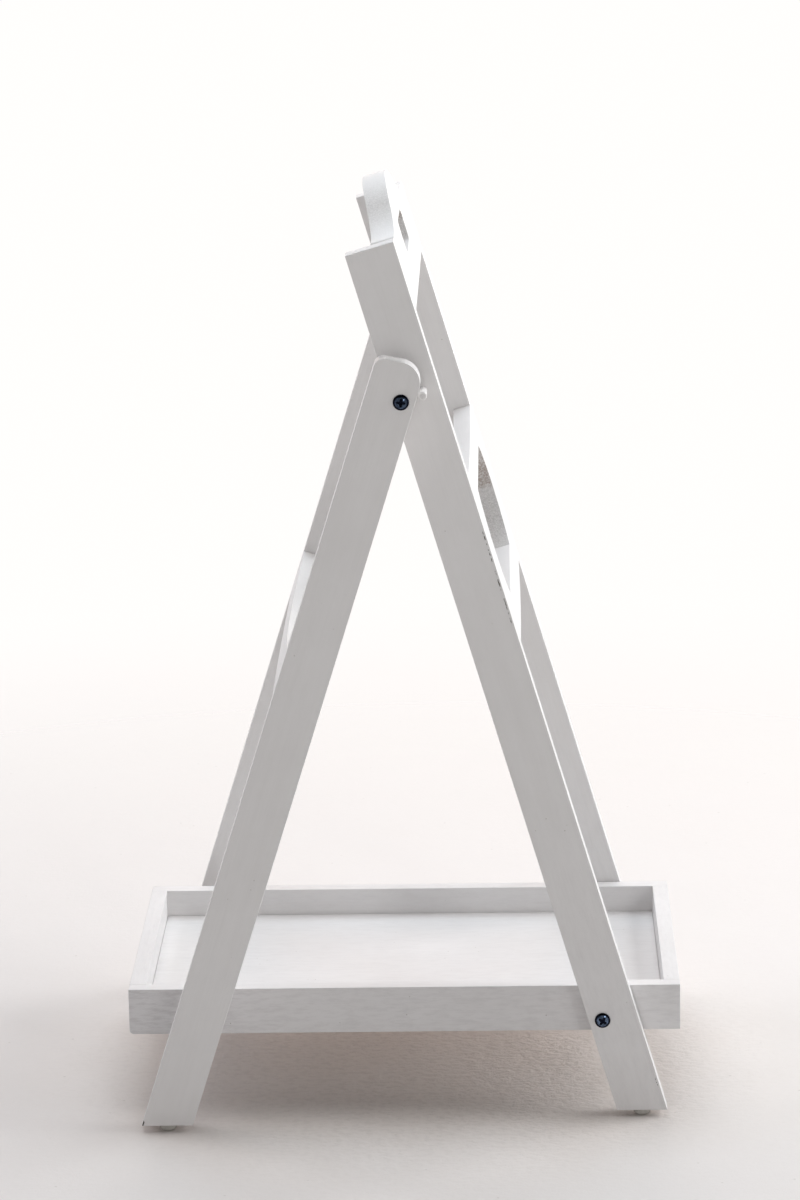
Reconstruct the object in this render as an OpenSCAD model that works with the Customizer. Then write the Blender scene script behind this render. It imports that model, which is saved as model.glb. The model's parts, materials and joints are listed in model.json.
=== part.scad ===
// Folding ladder stand for plants: a front frame with a hand-hole board and a window board,
// a rear frame hung on two pivot bolts, and one long tray low down between the legs.
// Millimetres, +Z up. The front faces -Y, and the width runs along X.
// Origin: on the floor, under the middle of the tray.

/* [Front frame] */
// Clear width between the front stiles
inner_w = 310; // [280:5:360]
// Width of a stile or leg, seen from the side
stile_w = 45; // [40:1:50]
// Thickness of a stile or leg
stile_t = 20; // [18:1:24]
// Length of a front stile along its front face, measured from the floor
front_len = 862; // [850:2:900]
// Lean of the front frame from upright, in degrees
front_lean = 16.35; // [15:0.05:18]
// Distance from the tray's middle to the front faces, at the floor
front_reach = 246; // [238:1:250]
// Thickness of the middle and rear boards
board_t = 17; // [15:1:20]

/* [Rear frame] */
// Length of a rear leg along its rear face, measured from the floor
rear_len = 765; // [761:2:791]
// Lean of the rear frame from upright when open, in degrees
rear_lean = 17.75; // [16:0.25:19]
// Radius of the rounded front corner at the top of a rear leg
rear_top_r = 22; // [10:1:24]
// Radius of the eased rear corner at the top of a rear leg
rear_heel_r = 8; // [2:1:10]
// How far the top of a rear leg is cut off square, in degrees
rear_cut = 6; // [0:1:8]

/* [Handle board] */
// Thickness of the handle board
handle_t = 22; // [18:1:24]
// Height up the frame of the handle board's lower edge
handle_low = 794; // [780:2:800]
// Rise of the arch above the stile tops
arch_rise = 38; // [30:1:45]
// Half of the arch's width, from its crown to where it meets the flat shoulder
arch_half = 135; // [120:5:140]
// Width of the hand hole
hand_w = 82; // [70:2:90]
// Height of the hand hole
hand_h = 30; // [24:1:32]
// Height up the frame of the hand hole's centre
hand_mid = 842; // [836:1:844]
// Corner radius of the hand hole
hand_r = 7; // [2:1:10]

/* [Middle board] */
// Height up the frame of the middle board's lower edge at the stiles
middle_low = 474; // [460:2:480]
// Height up the frame of the middle board's upper edge at the stiles
middle_high = 636; // [630:2:650]
// Depth of the curved bellies of the long edges
middle_belly = 3; // [1:0.5:5]
// Height of the window
window_h = 102; // [90:2:110]
// Height up the frame of the window's centre
window_mid = 556; // [552:1:558]
// Half-width of the window's straight edges
window_flat = 96; // [70:2:98]
// Half-width of the window at its widest
window_half = 118; // [114:2:126]

/* [Rear board] */
// Height up the rear frame of the rear board's lower edge at the legs
rear_low = 434; // [425:1:440]
// Height up the rear frame of the rear board's upper edge at the legs
rear_high = 482; // [480:1:500]
// Dip of the rear board's upper edge at its middle
rear_dip = 20; // [10:1:24]
// Depth of the belly of the rear board's lower edge
rear_belly = 5; // [2:1:8]

/* [Tray] */
// Length of the tray from front to back
tray_l = 514; // [500:2:530]
// Height of the tray's rails
rail_h = 44; // [40:1:48]
// Thickness of the tray's rails
rail_t = 15; // [15:1:18]
// Radius of the tray's rounded lower rear edge
tray_edge_r = 4; // [2:1:5]
// Height of the tray's underside above the floor
tray_z = 78.3; // [70:0.1:84]
// Height of the tray floor's upper face above the tray's underside
floor_top = 18; // [16:1:20]
// Thickness of the tray floor
floor_t = 6; // [4:1:8]
// Depth of the groove that holds the tray floor's tongue
groove = 5; // [3:1:5]
// Gap between a tray side and a stile, which a washer fills
tray_gap = 1.2; // [1:0.1:2]
// Diameter of the rod that carries the tray between the rear legs
rod_d = 18; // [16:1:20]

/* [Hardware] */
// Height up the front frame of the pivot bolts
pivot_up = 727; // [720:1:732]
// Depth of the pivot bolts behind the front faces
pivot_in = 34.5; // [32:0.5:36]
// Depth of the pivot bolts ahead of the rear faces of the rear legs
pivot_out = 32.5; // [30:0.5:34]
// Height up the front frame of the tray bolts
tray_bolt_up = 109; // [104:1:112]
// Depth of the tray bolts behind the front faces
tray_bolt_in = 32.5; // [30:0.5:34]
// Diameter of a bolt's shank
bolt_d = 6; // [5:0.5:6]
// Diameter of a bolt's domed head
head_d = 14.5; // [13:0.5:16]
// Height of a bolt's domed head
head_h = 3.4; // [2.5:0.1:4]
// Gap between a front stile and a rear leg, which a spacer fills
side_gap = 9; // [4:0.5:12]
// Diameter of the dowels that join the boards to the stiles
dowel_d = 8; // [6:1:10]
// Diameter of the stop pins
stop_d = 8; // [6:0.5:10]
// Diameter of a glide
glide_d = 16; // [14:1:18]
// Height of a glide
glide_h = 6.5; // [4:0.5:8]

/* [Hidden] */
$fn = 64;

white = [0.92, 0.92, 0.90];
beech = [0.80, 0.66, 0.46];
blue_black = [0.07, 0.08, 0.14];
steel = [0.72, 0.72, 0.70];
nylon = [0.90, 0.88, 0.82];

// Faces across the width, from the middle outwards
stile_in = inner_w / 2;
stile_out = stile_in + stile_t;
leg_in = stile_out + side_gap;
leg_out = leg_in + stile_t;
tray_out = stile_in - tray_gap;
tray_in = tray_out - rail_t;

// Clearances
run_gap = 0.06;   // radial play of a bolt in a bore that turns on it
face_gap = 0.3;   // play between a moving face and what it passes, and round the floor panel
washer_gap = 0.2; // play beside a washer or under a bolt's head

// The pivot's axis, and the rear frame's place under it
pivot_y = pivot_up * sin(front_lean) + pivot_in * cos(front_lean) - front_reach;
pivot_z = pivot_up * cos(front_lean) - pivot_in * sin(front_lean);
pivot_up_rear = (pivot_z + pivot_out * sin(rear_lean)) / cos(rear_lean);
rear_reach = pivot_y + pivot_out * cos(rear_lean) + pivot_up_rear * sin(rear_lean);

// The tray bolts' axis
tray_bolt_y = tray_bolt_up * sin(front_lean) + tray_bolt_in * cos(front_lean) - front_reach;
tray_bolt_z = tray_bolt_up * cos(front_lean) - tray_bolt_in * sin(front_lean);

// The stop pins touch the rear legs' front edges a little above the pivot
stop_ahead = stile_w - pivot_out + stop_d / 2 + face_gap;
stop_above = 9.8;
stop_y = pivot_y - stop_ahead * cos(rear_lean) - stop_above * sin(rear_lean);
stop_z = pivot_z - stop_ahead * sin(rear_lean) + stop_above * cos(rear_lean);
stop_in = 13;  // length inside the stile
stop_proud = side_gap + 14;  // length that stands out of it

// The rod that carries the tray, in the rear frame
rod_out = 14;  // its axis ahead of the rear faces
rod_z = tray_z - face_gap - rod_d / 2;
rod_up = (rod_z + rod_out * sin(rear_lean)) / cos(rear_lean);
tenon_d = 12;
tenon_l = 12;

// Dowels: length in the upright and in the board, and their heights up the frames
dowel_in_stile = 13;
dowel_in_board = 24;
handle_dowels = [handle_low + 14, front_len - 16];
middle_dowels = [middle_low + 15, middle_high - 15];
rear_dowels = [rear_low + 12, rear_high - 12];

// Threaded inserts and bolts
insert_d = 9;
pivot_insert_l = 13;
tray_insert_l = 9;
washer_d = 17;
washer_bore = bolt_d + 0.4;
head_rim = 0.9;      // straight rim under the dome
recess_l = 7.2;      // cross recess, from tip to tip
recess_w = 2;
recess_deep = 1.9;

// Tray joints
corner_dowel_d = 6;
corner_dowel_in = 8;     // length in a side
corner_dowel_end = 20;   // length in an end rail
corner_dowel_z = [9, 35];

// Glides and their nails
nail_d = 2;
nail_l = 16;
front_foot_y = glide_h * tan(front_lean) + stile_w / cos(front_lean) / 2 - front_reach;
rear_foot_y = rear_reach - glide_h * tan(rear_lean) - stile_w / cos(rear_lean) / 2;
far = 1000;   // larger than the stand

// Points along a shallow arc from x = -half to half, sagging by sag at its middle
function shallow(half, sag, z) = [for (i = [-8:8]) [half * i / 8, z - sag * (1 - i * i / 64)]];
function reversed(p) = [for (i = [len(p) - 1:-1:0]) p[i]];

module both_sides() {
    children();
    mirror([1, 0, 0]) children();
}

// Local axes of a leaning frame: X across, Y backwards from the face, Z up the frame
module in_front_frame() translate([0, -front_reach, 0]) rotate([-front_lean, 0, 0]) children();
module in_rear_frame() translate([0, rear_reach, 0]) rotate([rear_lean, 0, 0]) children();

// A flat outline in X and Z, given a thickness backwards from y
module board(y, t) translate([0, y + t, 0]) rotate([90, 0, 0]) linear_extrude(t) children();

// A rod along X between two faces
module rod(x0, x1, y, z, d) translate([x0, y, z]) rotate([0, 90, 0]) cylinder(h = x1 - x0, d = d);

module above_feet() difference() {
    children();
    translate([-far, -far, glide_h - far]) cube([2 * far, 2 * far, far]);
}

// Dowels or their holes at one end of a board, whose end face is at x
module board_dowels(x, y, heights) for (z = heights)
    rod(x - dowel_in_board, x + dowel_in_stile, y, z, dowel_d);

module nail_hole(y, x) translate([x, y, 0]) cylinder(h = glide_h + nail_l, d = nail_d);

// ---- Front frame ----

module front_stile() color(white) difference() {
    above_feet() in_front_frame()
        translate([stile_in, 0, -stile_w]) cube([stile_t, stile_w, front_len + stile_w]);
    in_front_frame() {
        board_dowels(stile_in, handle_t / 2, handle_dowels);
        board_dowels(stile_in, board_t / 2, middle_dowels);
    }
    rod(stile_out - pivot_insert_l, leg_in, pivot_y, pivot_z, insert_d);
    rod(stile_out - stop_in, leg_in, stop_y, stop_z, stop_d);
    rod(stile_in - 1, leg_in, tray_bolt_y, tray_bolt_z, bolt_d + 2 * run_gap);
    nail_hole(front_foot_y, stile_in + stile_t / 2);
}

module front_stile_right() front_stile();
module front_stile_left() mirror([1, 0, 0]) front_stile();

// Half the rise of the arch is a hollow sweep, and the other half a dome of the same radius
arch_r = (pow(arch_half / 2, 2) + pow(arch_rise / 2, 2)) / arch_rise;

module handle_outline() difference() {
    union() {
        translate([-stile_in, handle_low]) square([inner_w, front_len - handle_low]);
        difference() {
            translate([-arch_half, front_len - 1]) square([2 * arch_half, arch_rise / 2 + 1]);
            for (side = [-1, 1]) translate([side * arch_half, front_len + arch_r])
                circle(arch_r, $fn = 400);
        }
        intersection() {
            translate([0, front_len + arch_rise - arch_r]) circle(arch_r, $fn = 400);
            translate([-arch_half / 2, front_len]) square([arch_half, arch_rise + 1]);
        }
    }
    translate([0, hand_mid]) rounded_slot(hand_w, hand_h, hand_r);
}

module rounded_slot(w, h, r) {
    square([w - 2 * r, h], center = true);
    square([w, h - 2 * r], center = true);
    for (x = [-1, 1], z = [-1, 1]) translate([x * (w / 2 - r), z * (h / 2 - r)]) circle(r);
}

module handle_board() color(white) in_front_frame() difference() {
    board(0, handle_t) handle_outline();
    both_sides() board_dowels(stile_in, handle_t / 2, handle_dowels);
}

// The window's ends are arcs that bulge past its straight edges
window_bulge = window_half - window_flat;
window_r = (pow(window_h / 2, 2) + pow(window_bulge, 2)) / (2 * window_bulge);
window_arc_at = window_half - window_r;   // the arcs' centres, from the middle

module window_outline() translate([0, window_mid]) intersection() {
    square([2 * window_half + 2, window_h], center = true);
    union() {
        for (side = [-1, 1]) translate([side * window_arc_at, 0]) circle(window_r, $fn = 128);
        square([2 * window_arc_at, window_h + 2], center = true);
    }
}

module middle_outline() difference() {
    polygon(concat(
        shallow(stile_in, middle_belly, middle_low),
        reversed(shallow(stile_in, middle_belly, middle_high))));
    window_outline();
}

module middle_board() color(white) in_front_frame() difference() {
    board(0, board_t) middle_outline();
    both_sides() board_dowels(stile_in, board_t / 2, middle_dowels);
}

module handle_board_dowels() color(beech) in_front_frame() both_sides()
    board_dowels(stile_in, handle_t / 2, handle_dowels);

module middle_board_dowels() color(beech) in_front_frame() both_sides()
    board_dowels(stile_in, board_t / 2, middle_dowels);

module stop_pins() color(white) both_sides()
    rod(stile_out - stop_in, stile_out + stop_proud, stop_y, stop_z, stop_d);

// ---- Bolts ----

// A domed head standing on z = 0, with a cross recess, over a shank of length l
module bolt(l) color(blue_black) {
    dome_h = head_h - head_rim;
    dome_r = (pow(head_d / 2, 2) + pow(dome_h, 2)) / (2 * dome_h);
    difference() {
        rotate_extrude() {
            square([head_d / 2, head_rim]);
            intersection() {
                translate([0, head_h - dome_r]) circle(dome_r, $fn = 256);
                square([head_d / 2, head_h]);
            }
        }
        for (turn = [0, 90]) rotate([0, 0, turn]) translate([0, 0, head_h - recess_deep / 2 + 0.5])
            cube([recess_l, recess_w, recess_deep + 1], center = true);
    }
    translate([0, 0, -l]) cylinder(h = l, d = bolt_d);
}

module ring(x0, x1, y, z, d, bore) difference() {
    rod(x0, x1, y, z, d);
    rod(x0 - 1, x1 + 1, y, z, bore);
}

pivot_bolt_l = leg_out + washer_gap - stile_out + pivot_insert_l;
tray_bolt_l = stile_out + washer_gap - tray_out + tray_insert_l;

module pivot_bolts() both_sides()
    translate([leg_out + washer_gap, pivot_y, pivot_z]) rotate([0, 90, 0]) bolt(pivot_bolt_l);

module pivot_spacers() color(nylon) both_sides()
    ring(stile_out, leg_in - face_gap, pivot_y, pivot_z, washer_d, washer_bore);

module pivot_inserts() color(steel) both_sides()
    ring(stile_out - pivot_insert_l, stile_out, pivot_y, pivot_z, insert_d, bolt_d);

module tray_bolts() both_sides()
    translate([stile_out + washer_gap, tray_bolt_y, tray_bolt_z]) rotate([0, 90, 0])
        bolt(tray_bolt_l);

module tray_washers() color(nylon) both_sides()
    ring(tray_out, stile_in - washer_gap, tray_bolt_y, tray_bolt_z, washer_d, washer_bore);

module tray_inserts() color(steel) both_sides()
    ring(tray_out - tray_insert_l, tray_out, tray_bolt_y, tray_bolt_z, insert_d, bolt_d);

// ---- Glides ----

// A low round foot whose lower edge is rounded, with a hole for its nail
module glide(x, y) color(nylon) translate([x, y, 0]) {
    edge = glide_h / 2;
    rotate_extrude() difference() {
        translate([nail_d / 2, 0]) square([glide_d / 2 - nail_d / 2, glide_h]);
        translate([glide_d / 2 - edge, 0]) difference() {
            square([edge + 1, edge]);
            translate([0, edge]) circle(edge);
        }
    }
}

module glide_nail(x, y) color(steel) translate([x, y, 1])
    cylinder(h = glide_h + nail_l - 1, d = nail_d);

module front_glides() both_sides() glide(stile_in + stile_t / 2, front_foot_y);
module front_glide_nails() both_sides() glide_nail(stile_in + stile_t / 2, front_foot_y);
module rear_glides() both_sides() glide(leg_in + stile_t / 2, rear_foot_y);
module rear_glide_nails() both_sides() glide_nail(leg_in + stile_t / 2, rear_foot_y);

// ---- Rear frame ----

// A leg's side between two edges, under its sloping top, with its corners rounded to r
module leg_side(x0, x1, r) offset(r = r) offset(delta = -r) polygon([
    [x0, -far], [x1, -far], [x1, rear_len - x1 * tan(rear_cut)], [x0, rear_len - x0 * tan(rear_cut)]]);

// The front edge is at x = -stile_w and the rear edge at x = 0; each top corner has its own radius
module leg_profile() intersection() {
    translate([-stile_w - 1, -stile_w]) square([stile_w + 2, rear_len + 2 * stile_w]);
    leg_side(-stile_w, stile_w, rear_top_r);
    leg_side(-2 * stile_w, 0, rear_heel_r);
}

module rear_leg() color(white) difference() {
    above_feet() in_rear_frame()
        translate([leg_in, 0, 0]) rotate([90, 0, 90]) linear_extrude(stile_t) leg_profile();
    in_rear_frame() {
        board_dowels(leg_in, -board_t / 2, rear_dowels);
        rod(leg_in - 1, leg_in + tenon_l, -rod_out, rod_up, tenon_d);
    }
    rod(leg_in - 1, leg_out + 1, pivot_y, pivot_z, bolt_d + 2 * run_gap);
    nail_hole(rear_foot_y, leg_in + stile_t / 2);
}

module rear_leg_right() rear_leg();
module rear_leg_left() mirror([1, 0, 0]) rear_leg();

module rear_outline() polygon(concat(
    shallow(leg_in, rear_belly, rear_low),
    reversed(shallow(leg_in, rear_dip, rear_high))));

module rear_board() color(white) in_rear_frame() difference() {
    board(-board_t, board_t) rear_outline();
    both_sides() board_dowels(leg_in, -board_t / 2, rear_dowels);
}

module rear_board_dowels() color(beech) in_rear_frame() both_sides()
    board_dowels(leg_in, -board_t / 2, rear_dowels);

module tray_rod() color(white) in_rear_frame() {
    rod(-leg_in, leg_in, -rod_out, rod_up, rod_d);
    rod(-leg_in - tenon_l, leg_in + tenon_l, -rod_out, rod_up, tenon_d);
}

// ---- Tray ----

// A slab centred on the tray's middle, which runs past the rails' inner faces by a reach into each
module slab(reach, z, t) translate([-tray_in - reach, rail_t - reach - tray_l / 2, tray_z + z])
    cube([2 * (tray_in + reach), tray_l - 2 * (rail_t - reach), t]);

// The lower half of the floor's edge, which sits in the rails' grooves
module tongue() slab(groove, floor_top - floor_t, floor_t / 2);

// Dowels, or their holes, from a side into the end rails at its two corners
module corner_dowels() for (end = [-1, 1], z = corner_dowel_z)
    rod(tray_in - corner_dowel_end, tray_in + corner_dowel_in,
        end * (tray_l - rail_t) / 2, tray_z + z, corner_dowel_d);

// What rounding takes off the tray's lower rear edge, right across
module below_edge() translate([-tray_out - 1, tray_l / 2 - tray_edge_r, tray_z + tray_edge_r])
    rotate([90, 0, 90]) linear_extrude(2 * tray_out + 2) difference() {
        translate([0, -tray_edge_r - 1]) square(tray_edge_r + 1);
        circle(tray_edge_r);
    }

module tray_side() color(white) difference() {
    translate([tray_in, -tray_l / 2, tray_z]) cube([rail_t, tray_l, rail_h]);
    below_edge();
    tongue();
    corner_dowels();
    rod(tray_out - tray_insert_l, tray_out + 1, tray_bolt_y, tray_bolt_z, insert_d);
}

module tray_side_right() tray_side();
module tray_side_left() mirror([1, 0, 0]) tray_side();

module end_rail() difference() {
    translate([-tray_in, tray_l / 2 - rail_t, tray_z]) cube([2 * tray_in, rail_t, rail_h]);
    tongue();
    both_sides() corner_dowels();
}

module tray_front_rail() color(white) mirror([0, 1, 0]) end_rail();
module tray_rear_rail() color(white) difference() {
    end_rail();
    below_edge();
}

module tray_floor() color(white) {
    tongue();
    slab(-face_gap, floor_top - floor_t, floor_t);
}

module tray_corner_dowels() color(beech) both_sides() corner_dowels();

front_stile_left();
front_stile_right();
handle_board();
middle_board();
handle_board_dowels();
middle_board_dowels();
stop_pins();
pivot_bolts();
pivot_spacers();
pivot_inserts();
front_glides();
front_glide_nails();
rear_leg_left();
rear_leg_right();
rear_board();
rear_board_dowels();
tray_rod();
rear_glides();
rear_glide_nails();
tray_side_left();
tray_side_right();
tray_front_rail();
tray_rear_rail();
tray_floor();
tray_corner_dowels();
tray_bolts();
tray_washers();
tray_inserts();
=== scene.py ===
import json
import math

import bpy
import numpy as np
from mathutils import Matrix, Vector


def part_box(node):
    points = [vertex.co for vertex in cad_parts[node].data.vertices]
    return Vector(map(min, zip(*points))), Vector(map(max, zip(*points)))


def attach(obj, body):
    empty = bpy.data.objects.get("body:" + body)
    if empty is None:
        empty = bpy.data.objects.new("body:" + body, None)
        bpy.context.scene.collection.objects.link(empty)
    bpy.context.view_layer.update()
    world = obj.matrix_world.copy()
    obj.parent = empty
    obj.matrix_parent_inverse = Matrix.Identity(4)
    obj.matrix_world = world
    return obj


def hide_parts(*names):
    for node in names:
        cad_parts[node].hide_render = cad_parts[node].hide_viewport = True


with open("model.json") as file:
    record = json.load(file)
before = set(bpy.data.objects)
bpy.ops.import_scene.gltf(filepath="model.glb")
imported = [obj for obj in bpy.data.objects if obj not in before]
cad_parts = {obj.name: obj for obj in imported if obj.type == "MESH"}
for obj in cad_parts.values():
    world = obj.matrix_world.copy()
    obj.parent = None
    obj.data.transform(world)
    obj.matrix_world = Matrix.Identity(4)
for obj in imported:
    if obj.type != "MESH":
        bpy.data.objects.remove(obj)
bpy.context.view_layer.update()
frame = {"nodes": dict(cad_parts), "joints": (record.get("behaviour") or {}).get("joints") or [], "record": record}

# A folding ladder stand for plants, white painted wood, standing open in a bright studio.
# Metres. The front faces -Y; the photograph looks along +X, at the stand's left side.

MM = 0.001
TAU = 2 * math.pi

# Driving sizes, as in the part's source
INNER_W, STILE_W, STILE_T, BOARD_T, HANDLE_T = 310 * MM, 45 * MM, 20 * MM, 17 * MM, 22 * MM
FRONT_LEN, FRONT_LEAN, FRONT_REACH = 862 * MM, math.radians(16.35), 246 * MM
REAR_LEN, REAR_LEAN, REAR_CUT = 765 * MM, math.radians(17.75), math.radians(6)
REAR_TOP_R, REAR_HEEL_R = 22 * MM, 8 * MM
HANDLE_LOW, ARCH_RISE, ARCH_HALF = 794 * MM, 38 * MM, 135 * MM
HAND_W, HAND_H, HAND_MID, HAND_R = 82 * MM, 30 * MM, 842 * MM, 7 * MM
MIDDLE_LOW, MIDDLE_HIGH, MIDDLE_BELLY = 474 * MM, 636 * MM, 3 * MM
WINDOW_H, WINDOW_MID, WINDOW_FLAT, WINDOW_HALF = 102 * MM, 556 * MM, 96 * MM, 118 * MM
REAR_LOW, REAR_HIGH, REAR_DIP, REAR_BELLY = 434 * MM, 482 * MM, 20 * MM, 5 * MM
PIVOT_OUT, TENON_D = 32.5 * MM, 12 * MM
GLIDE_H, TONGUE, TRAY_EDGE_R = 6.5 * MM, 5.3 * MM, 4 * MM
PIVOT_INSERT_L, TRAY_INSERT_L, STOP_IN = 13 * MM, 9 * MM, 13 * MM
SIDES = (-1, "left"), (1, "right")

# Edges of the real timber are eased, and more so on the tray
EASE = 0.6 * MM
TRAY_EASE = 0.7 * MM
TIGHT = 0.25 * MM      # a board's end, which butts against a stile
SUPPORT = 0.5 * MM     # a line of points this far beside a rounding keeps the flat's shading flat
ASKEW = 120 * MM       # how far from an end that is cut askew a bar's rings go on leaning
CAP_R = 0.05 * MM      # radius of the small flat face that closes a turned piece

STILE_IN = INNER_W / 2
STILE_OUT = STILE_IN + STILE_T
LEG_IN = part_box("rear_leg_right")[0].x
PIVOT = next(j["pos_m"] for j in frame["joints"] if j["name"] == "rear_fold")
PIVOT_UP_REAR = (PIVOT[2] + PIVOT_OUT * math.sin(REAR_LEAN)) / math.cos(REAR_LEAN)
REAR_REACH = PIVOT[1] + PIVOT_OUT * math.cos(REAR_LEAN) + PIVOT_UP_REAR * math.sin(REAR_LEAN)

rng = np.random.default_rng(11)


# ---- Places ----

def leaning(reach, lean):
    """Carries (across, back, up the frame) to the row's axes: a turn about X by lean, then a move by reach
    along Y."""
    def place(p):
        x, y, s = np.moveaxis(p, -1, 0)
        return np.stack([
            x,
            reach + y * math.cos(lean) - s * math.sin(lean),
            y * math.sin(lean) + s * math.cos(lean)], -1)
    return place


in_front = leaning(-FRONT_REACH, -FRONT_LEAN)
in_rear = leaning(REAR_REACH, REAR_LEAN)


def upright(p):
    return p


# ---- Meshes ----

def grid_faces(rows, columns, wrap_rows):
    """Quads of a grid whose columns close on themselves, and whose rows do too if wrap_rows."""
    i = np.arange(rows if wrap_rows else rows - 1)[:, None]
    j = np.arange(columns)[None, :]
    after_i, after_j = (i + 1) % rows, (j + 1) % columns
    quads = np.stack([i * columns + j, i * columns + after_j,
                      after_i * columns + after_j, after_i * columns + j], -1)
    return quads.reshape(-1, 4)


def make(name, points, grain, wrap_rows=False, **marks):
    """A closed mesh from a grid of points. An open grid is shut by a flat face at each end.
    grain is where a point lies in the timber, with the third value along the fibres. The marks are
    1 where they hold: edge on a rounded edge, end on end grain, wear where paint has gone, coarse where
    the grain shows through, and bare where end grain is barely painted, which on a hole's
    downward-facing upper wall also carries painted shade."""
    rows, columns = points.shape[:2]
    quads = grid_faces(rows, columns, wrap_rows)
    faces = quads.tolist()
    if not wrap_rows:
        faces.append(list(range(columns))[::-1])
        faces.append(list(range((rows - 1) * columns, rows * columns)))
    mesh = bpy.data.meshes.new(name)
    mesh.from_pydata(points.reshape(-1, 3).tolist(), [], faces)
    if signed_volume(points.reshape(-1, 3), quads) < 0:
        mesh.flip_normals()
    mesh.polygons.foreach_set("use_smooth", np.ones(len(faces), bool))
    shifted = grain + rng.uniform(0, 5, 3)
    mesh.attributes.new("grain", "FLOAT_VECTOR", "POINT").data.foreach_set(
        "vector", shifted.astype(np.float32).ravel())
    for key in ("edge", "end", "wear", "coarse", "bare"):
        whole = np.broadcast_to(marks.get(key, 0.0), (rows, columns)).astype(np.float32)
        mesh.attributes.new(key, "FLOAT", "POINT").data.foreach_set("value", whole.ravel())
    mesh.update()
    piece = bpy.data.objects.new(name, mesh)
    bpy.context.scene.collection.objects.link(piece)
    return piece


def signed_volume(p, quads):
    """Six times the volume that the quads go round; below zero if they face inwards."""
    a, b, c, d = (p[quads[:, k]] - p.mean(0) for k in range(4))
    return np.einsum("ij,ij->", a, np.cross(b, c)) + np.einsum("ij,ij->", a, np.cross(c, d))


ARC = np.linspace(0, 1, 6)   # steps round an eased edge
CROWD = np.array([0.4, 0.9, 1.4, 2.2, 5.0, 9.0]) * MM   # lines of points beside a rounding


def rounded_rings(b_low, b_high, c_low, c_high, r):
    """Rounded rectangles, one for each place along a bar: four quarter circles of the radii r, joined by
    flats whose points crowd towards the roundings. Returns b, c and the weight of the edge."""
    corners = [(b_high - r[0], c_high - r[0]), (b_low + r[1], c_high - r[1]),
               (b_low + r[2], c_low + r[2]), (b_high - r[3], c_low + r[3])]
    angles = (np.arange(4)[:, None] + ARC) * TAU / 4
    arcs = [(b[:, None] + q[:, None] * np.cos(a), c[:, None] + q[:, None] * np.sin(a))
            for (b, c), q, a in zip(corners, r, angles)]
    least = 2.2 * CROWD[-1]   # on a shorter flat the points close up, so that they stay on their own half
    bs, cs, weights = [], [], []
    for k, (b, c) in enumerate(arcs):
        next_b, next_c = arcs[(k + 1) % 4]
        span_b, span_c = next_b[:, :1] - b[:, -1:], next_c[:, :1] - c[:, -1:]
        near = CROWD / np.maximum(np.hypot(span_b, span_c), least)
        t = np.concatenate([near, 0.5 + np.zeros_like(near[:, :1]), 1 - near[:, ::-1]], 1)
        bs += [b, b[:, -1:] + span_b * t]
        cs += [c, c[:, -1:] + span_c * t]
        weights += [1 - abs(2 * ARC - 1) ** 2, np.zeros(t.shape[1])]
    return np.concatenate(bs, 1), np.concatenate(cs, 1), np.concatenate(weights)


def ends_of(start, stop, ease, between):
    """Places of a bar's rings, and how far each is drawn in: quarter circles of the ease at both ends."""
    turn = np.radians(np.linspace(8, 90, 6))
    inset = ease * (1 - np.sin(turn))
    along = ease * (1 - np.cos(turn))
    middle = np.linspace(start + ease + SUPPORT, stop - ease - SUPPORT, between)
    return (np.concatenate([start + along, middle, stop - along[::-1]]),
            np.concatenate([inset, np.zeros(between), inset[::-1]]))


def rounding(rings, insets, end, radii):
    """Adds rings near a bar's far end, and gives for each radius how far an edge draws in there, as a
    quarter circle at the end."""
    turn = np.sin(np.radians(np.linspace(2, 88, 20)))
    a = np.unique(np.round(np.concatenate([rings, *(end - r * (1 - turn) for r in radii)]), 7))
    past = [np.clip(a - (end - r), 0, r) for r in radii]
    return a, np.interp(a, rings, insets), [r - np.sqrt(r * r - d * d) for r, d in zip(radii, past)]


LITTLE, SOME = 0.12, 0.5   # how far the grain shows through: on the frames, and on the tray


def little(along, b, c):
    return LITTLE


def some(along, b, c):
    return SOME


def bar(name, a, inset, b_low, b_high, c_low, c_high, ease, order, place=upright, slant=None, wear=None,
        coarse=little):
    """A length of timber: a rounded rectangle carried along a, drawn in by inset at its ends. ease is its
    edges' radius, or four of them; order says which local axes a, b and c are; slant(a, b, c) is added to
    a, for an end cut askew."""
    full = np.ones_like(a)
    ease = np.broadcast_to(ease, 4)
    b, c, edge = rounded_rings(b_low * full + inset, b_high * full - inset, c_low * full + inset,
                               c_high * full - inset, np.maximum(ease[:, None] - inset, 0.03 * MM))
    along = np.broadcast_to(a[:, None], b.shape)
    if slant is not None:
        along = along + slant(along, b, c)
    local = np.empty(b.shape + (3,))
    for axis, values in zip(order, (along, b, c)):
        local[..., axis] = values
    grain = np.stack([b, c, along], -1)
    on_edge = np.maximum(edge[None, :], (inset > 0)[:, None] * (inset < ease[0] * 0.8)[:, None])
    end = (inset > 0.3 * ease[0])[:, None] * 0.3
    worn = 0.0 if wear is None else wear(along, b, c)
    return make(name, place(local), grain, edge=on_edge, end=end, wear=worn, coarse=coarse(along, b, c))


def taper_to(end, reach, slope):
    """A shear that cuts a bar's end askew and fades out over a reach from it, below 0 for a top end."""
    def slant(a, b, c):
        return c * slope * np.clip(1 - (a - end) / reach, 0, 1)
    return slant


# ---- Boards with a hole ----

def loop_radii(loop, centre, angles):
    """How far a closed outline lies from the centre at each angle, for an outline each ray meets once."""
    d = loop - centre
    angle = np.mod(np.arctan2(d[:, 1], d[:, 0]), TAU)
    turn = np.argsort(angle)
    return np.interp(angles, angle[turn], np.hypot(d[:, 0], d[:, 1])[turn], period=TAU)


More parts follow.
